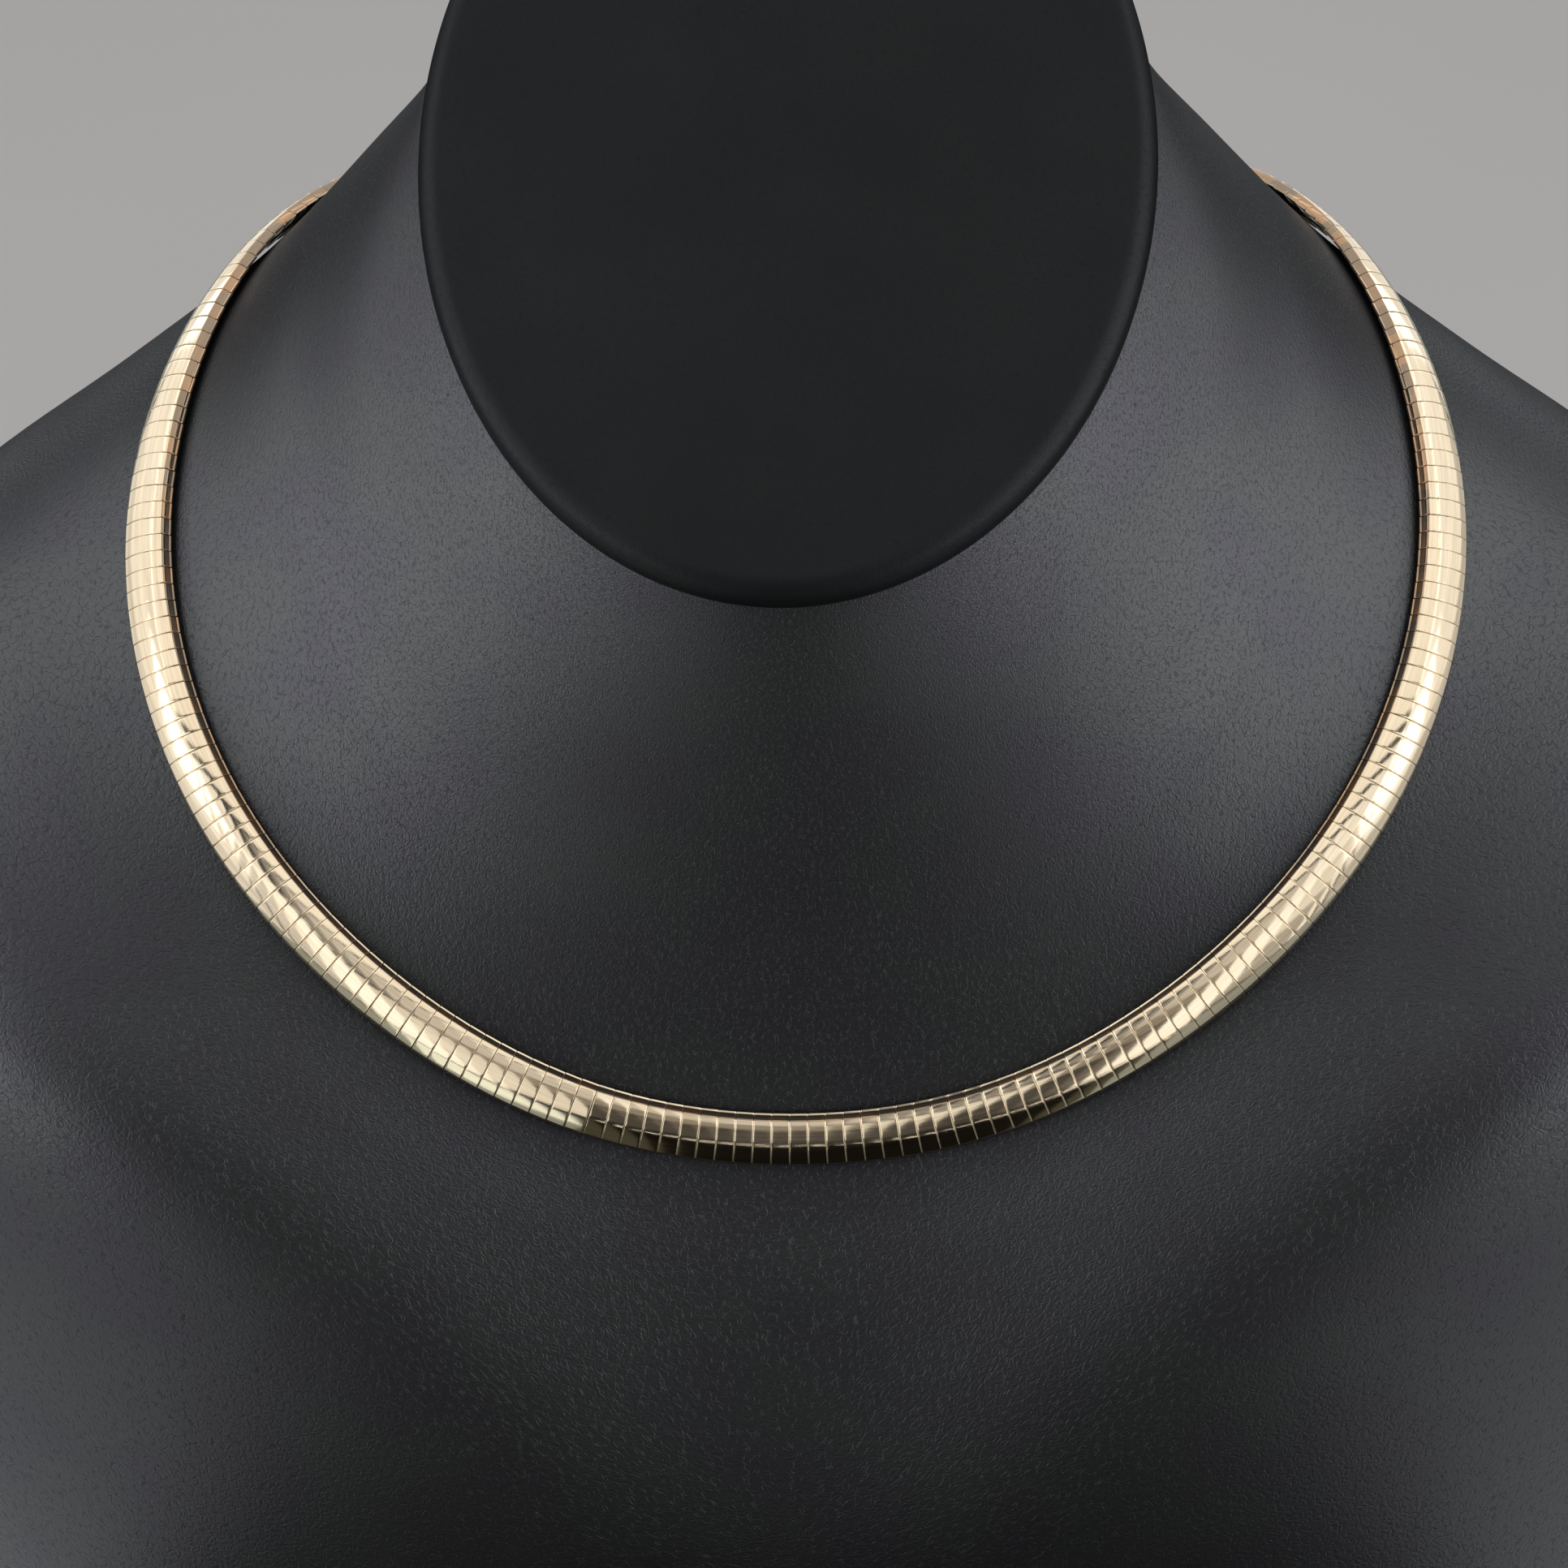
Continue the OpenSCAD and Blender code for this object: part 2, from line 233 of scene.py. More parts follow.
# Share of the wear left where the patch noise is low and high, and the spread of the roughness
WORN_NOISE, WORN_SHARE = (0.40, 0.66), (0.55, 1.0)
ROUGH_HEIGHT, ROUGH_SMOOTH, ROUGH_WORN = (0.15, 0.75), 0.75, 1.6
SCRATCH_DEPTH = 0.00001
# Its flank towards the neck, painted with a dark brown reflection of the neck: two browns, where it starts
# and ends across the band, and the width of its edges
FLANK_REFLECTED_DARK, FLANK_REFLECTED_BROWN, FLANK_STOPS = (0.16, 0.11, 0.08), (0.34, 0.18, 0.09), (0.25, 0.75)
FLANK_FROM, FLANK_TO, FLANK_FADE = 2.46, 3.36, 0.05
# How far from the middle of the front the lip gets the painted brown reflection as well
LIP_FADE = 45.0, 75.0
WEAVE_SCALE, WEAVE_LINE, WEAVE_DEPTH, WEAVE_BUMP, WEAVE_ROUGH = 2600.0, 0.22, 0.00005, 0.8, 0.38


def gold_material(name, base, dark, rough, scratch, painted_neck_reflection):
    """Polished gold, with a painted reflection of the neck on its flank. The surface map runs along the band
    in x and across it in y.
    """
    mat, tree, bsdf = new_material(name)
    uv = add(tree, "ShaderNodeUVMap", uv_map="surface").outputs["UV"]
    fine = noise(tree, scaled(tree, uv, FINE_SCRATCH), 1.0, 3.0, rough=0.6)
    long = noise(tree, scaled(tree, uv, LONG_SCRATCH, LONG_SHIFT), 1.0, 2.0)
    patch = noise(tree, scaled(tree, uv, WORN_PATCH), 1.0, 3.0)
    worn = map_range(tree, patch, *WORN_NOISE, *WORN_SHARE)
    streak = math_node(tree, "ADD", times(tree, fine, FINE_PART), times(tree, long, LONG_PART))
    height = times(tree, streak, worn)
    colour = ramp(tree, times(tree, streak, COLOUR_PART), zip(COLOUR_STOPS, (dark, base)))
    # The flank towards the neck is painted darker and browner, as a painted reflection of the dark neck, each
    # plate a little differently
    apart = add(tree, "ShaderNodeSeparateXYZ", {0: uv})
    along, across = apart.outputs["X"], apart.outputs["Y"]
    plate = math_node(tree, "FLOOR", times(tree, along, 1 / PLATE_PITCH))
    chance = add(tree, "ShaderNodeTexWhiteNoise", {"W": plate}, noise_dimensions="1D").outputs["Value"]
    brown = ramp(tree, chance, zip(FLANK_STOPS, (FLANK_REFLECTED_DARK, FLANK_REFLECTED_BROWN)))
    onset = map_range(tree, across, FLANK_FROM, FLANK_FROM + FLANK_FADE, 0.0, 1.0, smooth=True)
    stop = map_range(tree, across, FLANK_TO, FLANK_TO + FLANK_FADE, 1.0, 0.0, smooth=True)
    # The narrow lip beyond it is only bright at the front; further round it gets the painted reflection too
    off_front = math_node(tree, "ABSOLUTE", math_node(tree, "SUBTRACT", along, route_s[-1] / 2))
    stop = math_node(tree, "MAXIMUM", stop, map_range(tree, off_front, *LIP_FADE, smooth=True))
    flank = times(tree, times(tree, onset, stop), painted_neck_reflection)
    colour = add(
        tree, "ShaderNodeMix", {0: flank, 6: colour, 7: brown}, data_type="RGBA", blend_type="MIX"
    ).outputs[2]
    tree.links.new(colour, bsdf.inputs["Base Color"])
    roughness = map_range(tree, height, *ROUGH_HEIGHT, rough * ROUGH_SMOOTH, rough * ROUGH_WORN)
    tree.links.new(roughness, bsdf.inputs["Roughness"])
    bump_normal(tree, bsdf, height, SCRATCH_DEPTH, scratch)
    bsdf.inputs["Metallic"].default_value = 1.0
    return mat


def weave_material(name, base, dark):
    """Fine woven strip, seen only down the seams and at the back."""
    mat, tree, bsdf = new_material(name)
    place = add(tree, "ShaderNodeTexCoord").outputs["Object"]
    mesh = add(
        tree, "ShaderNodeTexVoronoi", {"Vector": place, "Scale": WEAVE_SCALE}, feature="DISTANCE_TO_EDGE"
    )
    thread = map_range(tree, mesh.outputs["Distance"], 0.0, WEAVE_LINE, smooth=True)
    tree.links.new(ramp(tree, thread, zip((0.0, 1.0), (dark, base))), bsdf.inputs["Base Color"])
    bump_normal(tree, bsdf, thread, WEAVE_DEPTH, WEAVE_BUMP)
    bsdf.inputs["Metallic"].default_value = 1.0
    bsdf.inputs["Roughness"].default_value = WEAVE_ROUGH
    return mat


# Leatherette: how the pebbles' edges drift, and which part of each crease is kept
DRIFT_SCALE, DRIFT_REACH = 0.9, 0.9
KEPT_FROM, KEPT_TO, KEPT_LEAST = 0.42, 0.66, 0.22
# Where the cover is pulled: from which value on, its turn and its stretch
PULL_FROM, PULL_TURN, PULL_STRETCH = 0.4, math.radians(42), (0.5, 1.1, 1.0)
CREASE_W, PEBBLE_W, PEBBLE_RISE = 0.13, 0.40, 0.5
PORE_SCALE, PORE_RISE = 3.4, 1.5
# Random mottle of the colour, and how much darker the creases are painted, as painted shade in them
MOTTLE_SCALE, MOTTLE_NOISE, MOTTLE_DARK, CREASE_PAINTED_SHADE = 0.05, (0.3, 0.7), 0.60, 0.45
HUE_SCALE, PLAIN_TINT = 0.07, (0.99, 1.0, 0.98)
MOTTLE_SHADE_STOPS, HUE_STOPS = (0.25, 1.0), (0.42, 0.60)
CREASE_ROUGH, CREASE_SHINE = 0.1, 0.7


def leather_material(name, base, lit, grain_size, relief, rough, shine, tint):
    """Black leatherette, with its surface map in millimetres.

    The attribute grain says how deep the grain is, and pull where it is stretched outwards.
    """
    mat, tree, bsdf = new_material(name)
    place = scaled(tree, add(tree, "ShaderNodeTexCoord").outputs["Object"], (1 / MM, 1 / MM, 1 / MM))
    flat = add(tree, "ShaderNodeUVMap", uv_map="surface").outputs["UV"]
    grain = add(tree, "ShaderNodeAttribute", attribute_name="grain").outputs["Fac"]
    pull = add(tree, "ShaderNodeAttribute", attribute_name="pull").outputs["Fac"]
    # Soft pebbles, with short creases where the lines between them run deep
    drift = noise(tree, flat, DRIFT_SCALE / grain_size, 0.0, dimensions="2D", out="Color")
    warp = vector_node(tree, "MULTIPLY", drift, (DRIFT_REACH, DRIFT_REACH, 0.0))
    bent = vector_node(tree, "ADD", flat, warp)
    chance = add(tree, "ShaderNodeSeparateXYZ", {0: drift}).outputs["Z"]
    kept = map_range(tree, chance, KEPT_FROM, KEPT_TO, KEPT_LEAST, 1.0)
    # Where the cover is pulled outwards from the neck, the creases run that way
    mirrored = vector_node(tree, "ABSOLUTE", bent)
    turned = add(
        tree, "ShaderNodeMapping", {"Vector": mirrored, "Rotation": (0, 0, PULL_TURN)}
    ).outputs["Vector"]
    pulled = add(
        tree,
        "ShaderNodeMix",
        {0: math_node(tree, "GREATER_THAN", pull, PULL_FROM), 4: bent, 5: scaled(tree, turned, PULL_STRETCH)},
        data_type="VECTOR",
    ).outputs[1]
    edge = add(
        tree,
        "ShaderNodeTexVoronoi",
        {"Vector": pulled, "Scale": 1 / grain_size},
        feature="DISTANCE_TO_EDGE",
        voronoi_dimensions="2D",
    ).outputs["Distance"]
    line = times(tree, map_range(tree, edge, 0.0, CREASE_W, 1.0, 0.0, smooth=True), kept)
    depth = times(tree, line, grain)
    rise = times(tree, map_range(tree, edge, 0.0, PEBBLE_W, 0.0, 1.0, smooth=True), grain)
    pores = noise(tree, flat, PORE_SCALE, 1.0, dimensions="2D")
    height = math_node(tree, "SUBTRACT", times(tree, rise, PEBBLE_RISE), depth)
    height = math_node(tree, "ADD", height, times(tree, pores, PORE_RISE))
    # Colour: a random mottle, with the creases painted darker as painted shade; they also shine less
    mottle = noise(tree, place, MOTTLE_SCALE, 2.0, rough=0.6)
    mottled = map_range(tree, mottle, *MOTTLE_NOISE, MOTTLE_DARK, 1.0)
    mottle_and_crease_shade = times(tree, mottled, map_range(tree, depth, 0.0, 1.0, 1.0, CREASE_PAINTED_SHADE))
    hue = noise(tree, place, HUE_SCALE, 1.0)
    for value, socket in (
        (ramp(tree, mottle_and_crease_shade, zip(MOTTLE_SHADE_STOPS, (base, lit))), "Base Color"),
        (map_range(tree, depth, 0.0, 1.0, rough, rough + CREASE_ROUGH), "Roughness"),
        (map_range(tree, depth, 0.0, 1.0, shine, CREASE_SHINE * shine), "Specular IOR Level"),
        (ramp(tree, hue, zip(HUE_STOPS, (PLAIN_TINT, tint))), "Specular Tint"),
    ):
        tree.links.new(value, bsdf.inputs[socket])
    bump_normal(tree, bsdf, height, relief)
    return mat


# The band's flank gets a painted reflection of the dark neck; the clasp's gets none
GOLD = gold_material(
    "champagne_gold", base=(0.93, 0.80, 0.60), dark=(0.70, 0.57, 0.40), rough=0.09, scratch=1.2, painted_neck_reflection=0.8
)
CLASP_GOLD = gold_material(
    "clasp_gold", base=(0.92, 0.77, 0.52), dark=(0.78, 0.61, 0.37), rough=0.13, scratch=0.5, painted_neck_reflection=0.0
)
WOVEN = weave_material("woven_gold", base=(0.72, 0.58, 0.36), dark=(0.20, 0.14, 0.07))
LEATHER = leather_material(
    "leatherette",
    base=(0.008, 0.0085, 0.009),
    lit=(0.013, 0.0135, 0.014),
    grain_size=0.62,
    relief=0.000018,
    rough=0.42,
    shine=0.50,
    tint=(0.95, 0.92, 1.0),
)
PAD_LEATHER = leather_material(
    "pad_leatherette",
    base=(0.006, 0.007, 0.007),
    lit=(0.012, 0.013, 0.014),
    grain_size=0.62,
    relief=0.000009,
    rough=0.46,
    shine=0.12,
    tint=(0.92, 0.94, 1.0),
)


# Mesh helpers
def add_piece(name, points, faces, material, replaced, uvs, normals=None, wrap=None, values=None):
    """A mesh from points in millimetres that rides on the part and stands for its CAD node.

    The surface map has one turn of the given wrap where it goes round, and values are named attributes.
    """
    mesh = bpy.data.meshes.new(name)
    mesh.from_pydata((np.asarray(points) * MM).tolist(), [], faces)
    mesh.materials.append(material)
    mesh.polygons.foreach_set("use_smooth", [True] * len(mesh.polygons))
    layer = mesh.uv_layers.new(name="surface")
    loop_points = np.empty(len(mesh.loops), dtype=np.int32)
    mesh.loops.foreach_get("vertex_index", loop_points)
    placed = np.asarray(uvs)[loop_points].astype(np.float32)
    if wrap:
        # Faces that cross the seam at the back keep to one side of it
        for face in mesh.polygons:
            own = slice(face.loop_start, face.loop_start + face.loop_total)
            u = placed[own, 0]
            if u.max() - u.min() > wrap / 2:
                placed[own, 0] = np.where(u > 0, u - wrap, u)
    layer.data.foreach_set("uv", placed.ravel())
    for key, data in (values or {}).items():
        attribute = mesh.attributes.new(key, "FLOAT", "POINT")
        attribute.data.foreach_set("value", np.asarray(data, np.float32))
    if normals is not None:
        mesh.normals_split_custom_set_from_vertices(np.asarray(normals).tolist())
    mesh.update()
    piece = bpy.data.objects.new(name, mesh)
    bpy.context.scene.collection.objects.link(piece)
    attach(piece, "root")
    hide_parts(replaced)
    return piece


def ring_faces(rings, count, first=0):
    """Quads between rings of the same count of points, outward when the rings rise and run anticlockwise."""
    quads = []
    for j in range(rings - 1):
        a, b = first + j * count, first + (j + 1) * count
        quads += [(a + k, a + (k + 1) % count, b + (k + 1) % count, b + k) for k in range(count)]
    return quads


def closed_faces(rings, count):
    """Faces of stacked rings and of a fan at each end, whose two middle points follow the rings."""
    low, high, last = rings * count, rings * count + 1, (rings - 1) * count
    faces = ring_faces(rings, count)
    faces += [(low, (k + 1) % count, k) for k in range(count)]
    faces += [(last + k, last + (k + 1) % count, high) for k in range(count)]
    return faces


# Plates: the rounded ends, as angles in degrees and distances from the end
END_ANGLES = [56, 42, 14, 4, 1]
END_PLACES = [0.0, 0.025, 0.05, 0.08, 0.24]
SHOWN_SEAM, CORNER = 0.04, 0.06
# Each flank is a little hollow and ends in a narrow lip
SHOWN_HALF, BEND_TILT, EDGE_TILT = 2.38, 54, 70
LIP_W, LIP_TILT, LIP_START = 0.15, 26, 0.15
CAVITY_SHARE = 0.85
CROWN_POINTS, FLANK_POINTS = 13, 3
# Each plate sits a little differently: spread of roll, pitch and yaw in degrees, and of its height
SIT_TURNS, SIT_LIFT = [0.30, 0.35, 0.10], 0.006
# The band is slightly kinked at the left of the front: azimuth, width of the fade, roll and pitch in degrees
KINK_AT, KINK_FADE, KINK_ROLL, KINK_PITCH = -28.0, 40.0, -2.0, -6.0


def plate_outline():
    """Closed outline of a plate across the band: place, normal and how far it draws in at the ends."""
    points, normals, drawn = [], [], []

    def put(y, z, ny, nz, d):
        points.append((y, z))
        normals.append((ny, nz))
        drawn.append(d)

    half = []
    for t in np.linspace(0, math.asin(SHOWN_HALF / CROWN_R), CROWN_POINTS // 2 + 1):
        half.append((CROWN_R * math.sin(t), BAND_H - CROWN_R * (1 - math.cos(t)), t))
    y, z, _ = half[-1]
    step = (BAND_W / 2 - 0.3 * CORNER - LIP_W - SHOWN_HALF) / FLANK_POINTS
    for t in np.radians(np.linspace(BEND_TILT, EDGE_TILT, FLANK_POINTS)):
        y, z = y + step, z - step * math.tan(t)
        half.append((y, z, t))
    for y, z, t in [(-y, z, -t) for y, z, t in half[:0:-1]] + half:
        put(y, z, math.sin(t), math.cos(t), 1)
    # The inner flank ends in a narrow lip, the outer one runs on down to the side wall
    lip = math.radians(LIP_TILT)
    for share in (LIP_START, 1):
        put(y + share * LIP_W, z - share * LIP_W * math.tan(lip), math.sin(lip), math.cos(lip), 1)
    low = points[-1][1]
    put(BAND_W / 2, low - CORNER, 1, 0, 1)
    put(BAND_W / 2, min(CORNER, low - 1.5 * CORNER), 1, 0, 1)
    put(BAND_W / 2 - CORNER, 0, 0, -1, 1)
    put(SLOT_W / 2, 0, 0, -1, 0)
    put(SLOT_W / 2, SHEET, 0, 1, 0)
    floor, inner_r = cavity_half(SHEET), CROWN_R - SHEET
    put(floor, SHEET, -0.7, 0.7, 0)
    for share in (CAVITY_SHARE, 0, -CAVITY_SHARE):
        t = math.asin(share * CROWN_HALF / CROWN_R)
        put(inner_r * math.sin(t), BAND_H - CROWN_R + inner_r * math.cos(t), -math.sin(t), -math.cos(t), 0)
    put(-floor, SHEET, 0.7, 0.7, 0)
    put(-SLOT_W / 2, SHEET, 0, 1, 0)
    put(-SLOT_W / 2, 0, 0, -1, 0)
    put(-BAND_W / 2 + CORNER, 0, 0, -1, 1)
    put(-BAND_W / 2, min(CORNER, low - 1.5 * CORNER), -1, 0, 1)
    put(-BAND_W / 2 + 0.5 * CORNER, low - 2 * CORNER, -1, 0.3, 1)
    return np.array(points), unit(np.array(normals, float)), np.array(drawn, float), len(half) - 1


def plate_ends():
    """Distance from the plate's end, how far the surface has dropped there and the angle that it faces."""
    angles = np.radians(END_ANGLES)
    places = np.array(END_PLACES)
    slopes = np.tan((angles[1:] + angles[:-1]) / 2)
    steps = slopes * np.diff(places)
    drops = np.concatenate([np.cumsum(steps[::-1])[::-1], [0]])
    return places, drops, angles


def build_plates():
    outline, outward, drawn, middle = plate_outline()
    places, drops, angles = plate_ends()
    count = len(outline)
    inn, _, base = band_frame(seam_a)
    points, normals, uvs, faces = [], [], [], []
    stations = 2 * len(places)
    centre = np.array([0, 0, BAND_H / 2])
    across = np.cumsum(np.r_[0, np.linalg.norm(np.diff(outline, axis=0), axis=1)])
    across = across - across[middle]
    middle_a = (seam_a[1:] + seam_a[:-1]) / 2 - 360
    for j in range(PLATES):
        p0, p1, in0, in1 = base[j], base[j + 1], inn[j], inn[j + 1]
        reach = np.linalg.norm(p1 - p0)
        x = (p1 - p0) / reach
        y = unit(in0 + in1 - np.dot(in0 + in1, x) * x)
        z = np.cross(x, y)
        lean0 = np.dot(in0, x) / np.dot(in0, y)
        lean1 = np.dot(in1, x) / np.dot(in1, y)
        roll, pitch, yaw = rng.normal(0, 1, 3) * np.radians(SIT_TURNS)
        kinked = max(0.0, 1 - (KINK_AT - middle_a[j]) / KINK_FADE) if middle_a[j] < KINK_AT else 0.0
        roll += math.radians(KINK_ROLL) * kinked
        pitch += math.radians(KINK_PITCH) * kinked
        lift = rng.normal(0, SIT_LIFT)
        turn = np.array([[1, -yaw, pitch], [yaw, 1, -roll], [-pitch, roll, 1]])
        half = (reach - SHOWN_SEAM) / 2
        first = j * count * stations
        for end in (-1, 1):
            order = range(len(places)) if end < 0 else range(len(places) - 1, -1, -1)
            lean = lean0 if end < 0 else lean1
            for k in order:
                yz = outline - outward * (drops[k] * drawn)[:, None]
                along = end * (half - places[k]) + lean * yz[:, 0]
                local = np.column_stack([along, yz[:, 0], yz[:, 1] + lift])
                local = (local - centre) @ turn.T + centre
                tilt = angles[k] * drawn
                n = np.column_stack([end * np.sin(tilt), outward * np.cos(tilt)[:, None]]) @ turn.T
                points.append((p0 + p1) / 2 + local @ np.stack([x, y, z]))
                normals.append(n @ np.stack([x, y, z]))
                uvs.append(np.column_stack([seam_s[j] + reach / 2 + along, across]))
        faces += [f[::-1] for f in ring_faces(stations, count, first)]
        faces.append(tuple(range(first, first + count)))
        last = first + (stations - 1) * count
        faces.append(tuple(range(last + count - 1, last - 1, -1)))
    return add_piece(
        "plate_band",
        np.concatenate(points),
        faces,
        GOLD,
        "plates",
        uvs=np.concatenate(uvs),
        normals=np.concatenate(normals),
    )


# Bust and cap
def smooth_step(v, lo, hi):
    """Rises from 0 at lo to 1 at hi, which may be the lower of the two."""
    t = np.clip((v - lo) / (hi - lo), 0, 1)
    return t * t * (3 - 2 * t)


AROUND, PER_ROW, FOOT_RINGS, RIM_RINGS, TOP_RINGS = 320, 18, 6, 17, 24
# The cover is eased between these rows of the table, where the last two count down from the collar
EASE_PASSES, EASE_SHARE = 90, 0.5
EASE_FROM, EASE_FULL, EASE_OFF, EASE_END = 0, 0.6, 1.6, 0.6
# One turn of the grain's map, and where the grain grows fainter up the neck
GRAIN_TURN, NECK_LEAN, NECK_FROM, NECK_TO, NECK_FAINT = 430.0, 0.35, 118, 168, 0.25
# Where the cover is pulled: distance from the middle and height
PULL_X, PULL_Z = (20, 42), (105, 130)
# Slope of the foot's rounded edge in degrees, and where the rings on the cap's top begin and end
FOOT_SLOPE, TOP_SPAN, PAD_GRAIN = (90, 15), (0.04, 0.96), 0.7


def around_and_up(rings):
    """Flat coordinates around and up closed rings of points, both sized at the base of the neck."""
    around = np.linalg.norm(np.diff(rings, axis=1, append=rings[:, :1]), axis=2)
    length = around.sum(axis=1)
    turn = np.cumsum(around, axis=1) / length[:, None]
    turn = np.concatenate([np.zeros((len(rings), 1)), turn[:, :-1]], axis=1)
    turn = np.where(turn > 0.5, turn - 1, turn)
    rise = np.linalg.norm(np.diff(rings, axis=0), axis=2).mean(axis=1)
    climb = np.concatenate([[0], np.cumsum(rise * 2 / (length[1:] + length[:-1]))])
    return GRAIN_TURN * np.stack([turn, np.broadcast_to(climb[:, None], turn.shape)], axis=-1).reshape(-1, 2)


def build_bust():
    a = np.arange(AROUND) * 360 / AROUND
    rings = []
    foot = row_point(0, a)
    for fall in np.radians(np.linspace(*FOOT_SLOPE, FOOT_RINGS)):
        inset = 1 - BASE_EDGE * (1 - math.cos(fall)) / (BUST_W / 2)
        ring = foot * [inset, inset, 1]
        ring[:, 2] = BASE_EDGE * (1 - math.sin(fall))
        rings.append(ring)
    for i in range(TOP):
        rings += [bust_point(i, u, a) for u in np.arange(PER_ROW) / PER_ROW]
    rings.append(row_point(TOP, a))
    rings = np.array(rings)
    # The cover is stretched smooth over the chest and shoulders, up to just below the band
    level = (np.arange(len(rings)) - FOOT_RINGS) / PER_ROW
    eased = smooth_step(level, EASE_FROM, EASE_FULL)
    eased = eased * smooth_step(level, COLLAR - EASE_END, COLLAR - EASE_OFF)
    for _ in range(EASE_PASSES):
        middle = (rings[:-2] + rings[2:]) / 2
        rings[1:-1] += EASE_SHARE * eased[1:-1, None, None] * (middle - rings[1:-1])
    points = np.concatenate([rings.reshape(-1, 3), [[0, 0, 0]], [CAP_SEAT - SEAT_GAP * CAP_OUT]])
    x, y, z = points.T
    grain = 1 - NECK_FAINT * smooth_step(z - NECK_LEAN * (y + NECK_FORWARD), NECK_FROM, NECK_TO)
    side = smooth_step(np.abs(x), *PULL_X) * smooth_step(z, *PULL_Z)
    return add_piece(
        "bust_cover",
        points,
        closed_faces(len(rings), AROUND),
        LEATHER,
        "bust_form",
        uvs=np.concatenate([around_and_up(rings), np.zeros((2, 2))]),
        wrap=GRAIN_TURN,
        values={"grain": grain, "pull": side},
    )


def build_cap():
    a = np.radians(np.arange(AROUND) * 360 / AROUND)
    rings, flat = [], []

    def put(inset, up):
        across, along = (CAP_W / 2 - inset) * np.sin(a), -(CAP_L / 2 - inset) * np.cos(a)
        rings.append(
            CAP_SEAT + across[:, None] * CAP_ACROSS + along[:, None] * CAP_ALONG + up * CAP_OUT
        )
        round_rim = RIM_R * max(0.0, math.pi / 2 - up / RIM_R)
        flat.append(np.column_stack([across, along]) * (1 + round_rim / CAP_W))

    for t in np.radians(np.linspace(-90, 90, RIM_RINGS)):
        put(RIM_R * (1 - math.cos(t)), RIM_R * (1 + math.sin(t)))
    for s in np.linspace(*TOP_SPAN, TOP_RINGS):
        put(RIM_R + s * (CAP_W / 2 - RIM_R), 2 * RIM_R + CAP_SWELL * math.sin(s * math.pi / 2))
    points = np.concatenate([*rings, [CAP_SEAT], [CAP_SEAT + (2 * RIM_R + CAP_SWELL) * CAP_OUT]])
    count = len(points)
    return add_piece(
        "neck_pad",
        points,
        closed_faces(len(rings), AROUND),
        PAD_LEATHER,
        "neck_cap",
        uvs=np.concatenate([*flat, np.zeros((2, 2))]),
        values={"grain": np.full(count, PAD_GRAIN), "pull": np.zeros(count)},
    )


# Camera: the frame and the focal length in pixels, the distance and the point looked at in millimetres
FRAME_PX, FOCAL_PX, SENSOR_W = 1932, 6540, 36
DISTANCE, CLIP = 600, (0.01, 100)
VIEW_AZ, VIEW_EL, VIEW_ROLL = math.radians(-2.5), math.radians(30), math.radians(-1.25)
AIM = np.array([0.0, -14.0, 128.0])
AIM_RIGHT, AIM_UP = -1.5, -6.2


def build_camera():
    look = np.array(
        [math.sin(VIEW_AZ) * math.cos(VIEW_EL), math.cos(VIEW_AZ) * math.cos(VIEW_EL), -math.sin(VIEW_EL)]
    )
    right = np.array([math.cos(VIEW_AZ), -math.sin(VIEW_AZ), 0.0])
    up = np.cross(right, look)
    right, up = (
        math.cos(VIEW_ROLL) * right + math.sin(VIEW_ROLL) * up,
        -math.sin(VIEW_ROLL) * right + math.cos(VIEW_ROLL) * up,
    )
    place = (AIM + AIM_RIGHT * right + AIM_UP * up - DISTANCE * look) * MM
    data = bpy.data.cameras.new("camera")
    data.sensor_fit = "HORIZONTAL"
    data.sensor_width = SENSOR_W
    data.lens = SENSOR_W * FOCAL_PX / FRAME_PX
    data.clip_start, data.clip_end = CLIP
    camera = bpy.data.objects.new("camera", data)
    bpy.context.scene.collection.objects.link(camera)
    camera.matrix_world = Matrix(
        [
            [right[0], up[0], -look[0], place[0]],
            [right[1], up[1], -look[1], place[1]],
            [right[2], up[2], -look[2], place[2]],
            [0, 0, 0, 1],
        ]
    )
    bpy.context.scene.camera = camera


# Studio, in metres and degrees
AIM_POINT = Vector((0, -0.014, 0.13))
WHITE, COOL, WARM = (1.0, 0.99, 0.98), (0.93, 0.96, 1.0), (1.0, 0.97, 0.92)
BROWN, TABLE, BLACK = (1.0, 0.90, 0.78), (0.92, 1.0, 0.95), (0, 0, 0)
